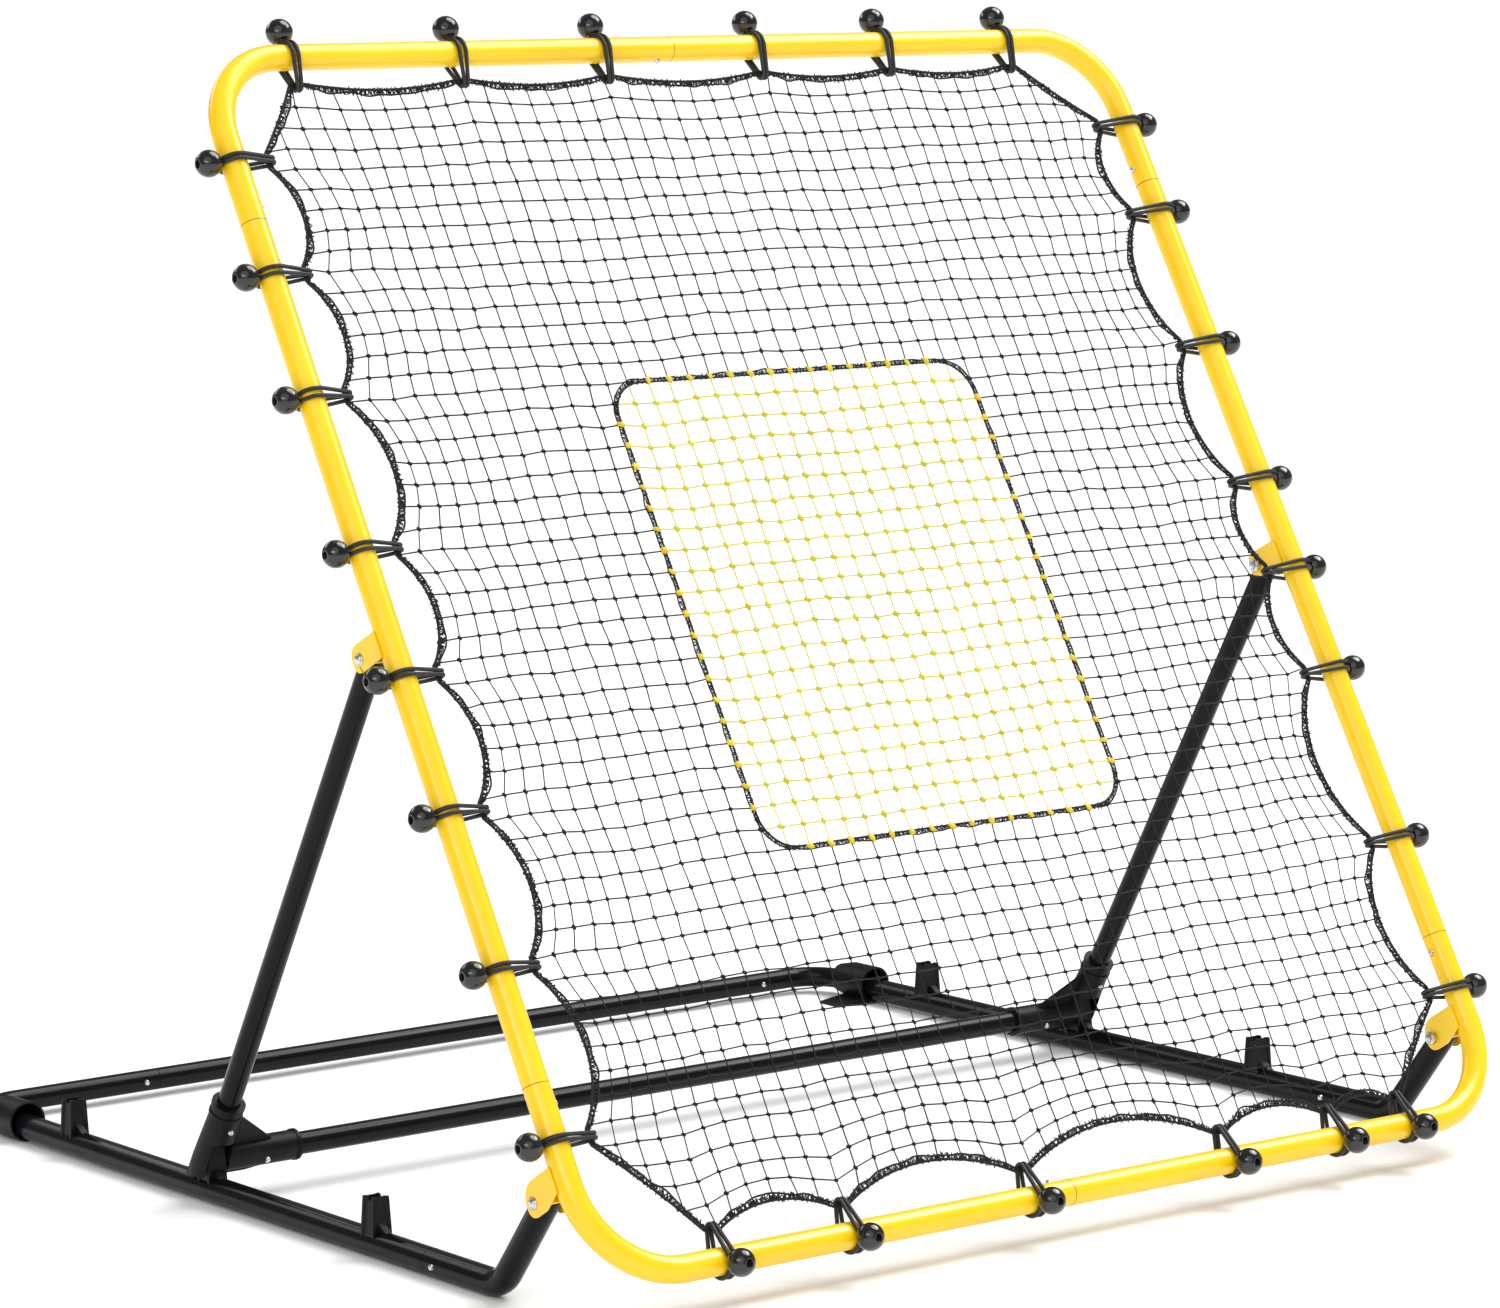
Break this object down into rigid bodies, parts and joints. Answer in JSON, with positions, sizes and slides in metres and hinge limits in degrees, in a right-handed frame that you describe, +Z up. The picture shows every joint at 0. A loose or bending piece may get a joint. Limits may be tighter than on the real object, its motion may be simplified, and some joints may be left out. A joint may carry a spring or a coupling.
{
  "type": "pitch back rebounder",
  "caption": "A leaning tube frame holds a scalloped net on ball bungees, hinged to a floor base and propped by two struts, with a smaller target net in the middle.",
  "frame": {"origin": "On the floor, at mid width and at the middle of the whole depth.", "axes": "+X is to the right of someone facing its front, -Y is the front that the ball comes from, +Z is up."},
  "size_m": [1.3404, 1.2857, 1.2743],
  "materials": {
    "yellow_coat": "gloss powder coat",
    "black_coat": "gloss powder coat",
    "zinc": "bright zinc plate",
    "black_plastic": "satin moulded",
    "black_ball": "gloss moulded",
    "black_cord": "braided cord and twine",
    "yellow_twine": "knotted twine"
  },
  "bodies": {
    "floor_base": {"rail_left": "black_coat", "rail_right": "black_coat", "front_riser_left": "black_coat", "front_riser_right": "black_coat", "rear_bar": "black_coat", "rear_elbow_left": "black_coat", "rear_elbow_right": "black_coat", "rear_hood_left": "black_plastic", "rear_hood_right": "black_plastic", "rail_end_plugs": "black_plastic", "front_post_left": "black_plastic", "front_post_right": "black_plastic", "middle_post_left": "black_plastic", "middle_post_right": "black_plastic", "rear_post_left": "black_plastic", "rear_post_right": "black_plastic"},
    "leaning_frame": {"bungee_balls": "black_ball", "bungee_loops": "black_cord", "frame_bottom_left": "yellow_coat", "frame_bottom_right": "yellow_coat", "frame_side_left": "yellow_coat", "frame_side_right": "yellow_coat", "frame_top_left": "yellow_coat", "frame_top_right": "yellow_coat", "lower_bracket_left": "yellow_coat", "lower_bracket_right": "yellow_coat", "net_border": "black_cord", "pivot_bolts": "zinc", "pivot_nuts": "zinc", "rebound_net": "black_cord", "target_border": "black_cord", "target_net": "yellow_twine", "upper_bracket_left": "yellow_coat", "upper_bracket_right": "yellow_coat"},
    "prop": {"strut_left": "black_coat", "strut_right": "black_coat", "foot_connector_left": "black_plastic", "foot_connector_right": "black_plastic", "cross_tube": "black_coat"},
    "bottom_snap_button": {"bottom_snap_button": "zinc"},
    "cross_snap_button_left": {"cross_snap_button_left": "zinc"},
    "cross_snap_button_right": {"cross_snap_button_right": "zinc"},
    "lower_snap_button_left": {"lower_snap_button_left": "zinc"},
    "lower_snap_button_right": {"lower_snap_button_right": "zinc"},
    "rail_snap_button_left": {"rail_snap_button_left": "zinc"},
    "rail_snap_button_right": {"rail_snap_button_right": "zinc"},
    "rear_snap_button_left": {"rear_snap_button_left": "zinc"},
    "rear_snap_button_right": {"rear_snap_button_right": "zinc"},
    "strut_snap_button_left": {"strut_snap_button_left": "zinc"},
    "strut_snap_button_right": {"strut_snap_button_right": "zinc"},
    "top_snap_button": {"top_snap_button": "zinc"},
    "upper_snap_button_left": {"upper_snap_button_left": "zinc"},
    "upper_snap_button_right": {"upper_snap_button_right": "zinc"}
  },
  "joints": [
    {"name": "frame_tilt", "type": "hinge", "parent": "floor_base", "child": "leaning_frame", "pos_m": [0, -0.51006, 0.1147], "axis": [-1, 0, 0], "range_deg": [0, 53.2]},
    {"name": "strut_swing", "type": "hinge", "parent": "leaning_frame", "child": "prop", "pos_m": [0, -0.21914, 0.62859], "axis": [-1, 0, 0], "range_deg": [-119.8, 0]},
    {"name": "top_press", "type": "slide", "parent": "leaning_frame", "child": "top_snap_button", "axis": [0, 0.5, 0.866], "range_m": [0, 0.004], "stiffness_N_per_m": 400},
    {"name": "bottom_press", "type": "slide", "parent": "leaning_frame", "child": "bottom_snap_button", "axis": [0, -0.5, -0.866], "range_m": [0, 0.004], "stiffness_N_per_m": 400},
    {"name": "upper_left_press", "type": "slide", "parent": "leaning_frame", "child": "upper_snap_button_left", "axis": [-1, 0, 0], "range_m": [0, 0.004], "stiffness_N_per_m": 400},
    {"name": "lower_left_press", "type": "slide", "parent": "leaning_frame", "child": "lower_snap_button_left", "axis": [-1, 0, 0], "range_m": [0, 0.004], "stiffness_N_per_m": 400},
    {"name": "rail_left_press", "type": "slide", "parent": "floor_base", "child": "rail_snap_button_left", "axis": [1, 0, 0], "range_m": [0, 0.004], "stiffness_N_per_m": 400},
    {"name": "rear_left_press", "type": "slide", "parent": "floor_base", "child": "rear_snap_button_left", "axis": [0, 1, 0], "range_m": [0, 0.004], "stiffness_N_per_m": 400},
    {"name": "strut_left_press", "type": "slide", "parent": "prop", "child": "strut_snap_button_left", "axis": [0, 0.8649, 0.5019], "range_m": [0, 0.004], "stiffness_N_per_m": 400},
    {"name": "cross_left_press", "type": "slide", "parent": "prop", "child": "cross_snap_button_left", "axis": [0, 0.866, 0.5], "range_m": [0, 0.004], "stiffness_N_per_m": 400},
    {"name": "upper_right_press", "type": "slide", "parent": "leaning_frame", "child": "upper_snap_button_right", "axis": [1, 0, 0], "range_m": [0, 0.004], "stiffness_N_per_m": 400},
    {"name": "lower_right_press", "type": "slide", "parent": "leaning_frame", "child": "lower_snap_button_right", "axis": [1, 0, 0], "range_m": [0, 0.004], "stiffness_N_per_m": 400},
    {"name": "rail_right_press", "type": "slide", "parent": "floor_base", "child": "rail_snap_button_right", "axis": [1, 0, 0], "range_m": [0, 0.004], "stiffness_N_per_m": 400},
    {"name": "rear_right_press", "type": "slide", "parent": "floor_base", "child": "rear_snap_button_right", "axis": [0, 1, 0], "range_m": [0, 0.004], "stiffness_N_per_m": 400},
    {"name": "strut_right_press", "type": "slide", "parent": "prop", "child": "strut_snap_button_right", "axis": [0, 0.8649, 0.5019], "range_m": [0, 0.004], "stiffness_N_per_m": 400},
    {"name": "cross_right_press", "type": "slide", "parent": "prop", "child": "cross_snap_button_right", "axis": [0, 0.866, 0.5], "range_m": [0, 0.004], "stiffness_N_per_m": 400}
  ],
  "couplings": [
    {"joint": "strut_swing", "follows": "frame_tilt", "ratio": -2.25}
  ]
}
